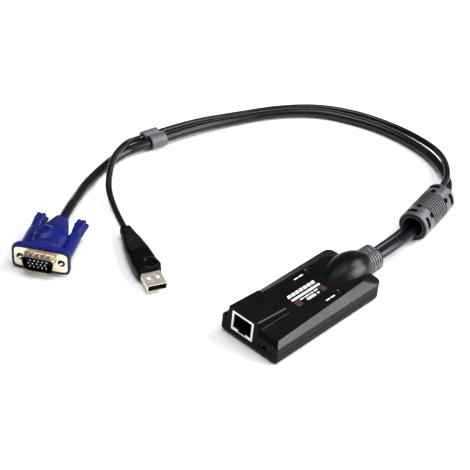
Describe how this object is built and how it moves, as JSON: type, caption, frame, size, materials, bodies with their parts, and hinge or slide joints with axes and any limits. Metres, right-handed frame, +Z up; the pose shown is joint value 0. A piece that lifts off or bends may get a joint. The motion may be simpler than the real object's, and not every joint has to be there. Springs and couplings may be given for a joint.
{
  "type": "console adapter",
  "caption": "Compact black adapter case with a network socket, and two cords through a ferrite choke and a cord band to a blue 15-pin video plug and a USB plug.",
  "frame": {"origin": "on the surface that the case stands on, under the middle of the case's box", "axes": "+Z up from the table, -Y out of the network socket, +Y towards the cords' exit, along the case's length, +X to the right seen from the cords' side looking at the socket's back"},
  "size_m": [0.205, 0.289, 0.0211],
  "materials": {
    "case_black": "fine matte texture",
    "circuit_green": "smooth solder mask",
    "nickel": "satin nickel plate",
    "gold_plate": "thin gold plate",
    "moulded_black": "smooth moulded plastic",
    "clear_pipe": "frosted clear plastic",
    "chip_black": "moulded epoxy",
    "led_white": "chip package",
    "relief_grey": "soft moulded rubber",
    "cord_black": "smooth cord jacket",
    "choke_grey": "moulded plastic",
    "ferrite": "sintered ferrite",
    "hood_blue": "satin moulded plastic",
    "steel": "turned steel"
  },
  "bodies": {
    "adapter": {"top_cover": "case_black", "bottom_cover": "case_black", "circuit_board": "circuit_green", "jack_shield": "nickel", "jack_insert": "moulded_black", "jack_contacts": "gold_plate", "switch_body": "moulded_black", "light_pipe_left": "clear_pipe", "light_pipe_right": "clear_pipe", "led_chips": "led_white", "main_chip": "chip_black", "signal_transformer": "chip_black", "strain_relief": "relief_grey", "video_cord": "cord_black", "usb_cord": "cord_black", "choke_jacket": "choke_grey", "choke_core": "ferrite", "cord_band": "choke_grey", "video_hood": "hood_blue", "video_shell": "nickel", "video_insulator": "moulded_black", "video_pins": "gold_plate", "usb_shell": "nickel", "usb_tongue": "moulded_black", "usb_contacts": "gold_plate", "usb_grip": "cord_black"},
    "thumbscrew_left": {"thumbscrew_head_left": "hood_blue", "thumbscrew_shank_left": "steel"},
    "thumbscrew_right": {"thumbscrew_head_right": "hood_blue", "thumbscrew_shank_right": "steel"},
    "switch": {"switch_slider": "moulded_black"}
  },
  "joints": [
    {"name": "left_screw_turn", "type": "hinge", "parent": "adapter", "child": "thumbscrew_left", "pos_m": [-0.13606, -0.0984, 0.00843], "axis": [0.4861, -0.8739, 0], "continuous": true},
    {"name": "right_screw_turn", "type": "hinge", "parent": "adapter", "child": "thumbscrew_right", "pos_m": [-0.11425, -0.08626, 0.00987], "axis": [0.4861, -0.8739, 0], "continuous": true},
    {"name": "switch_slide", "type": "slide", "parent": "adapter", "child": "switch", "axis": [1, 0, 0], "range_m": [0, 0.002]}
  ]
}
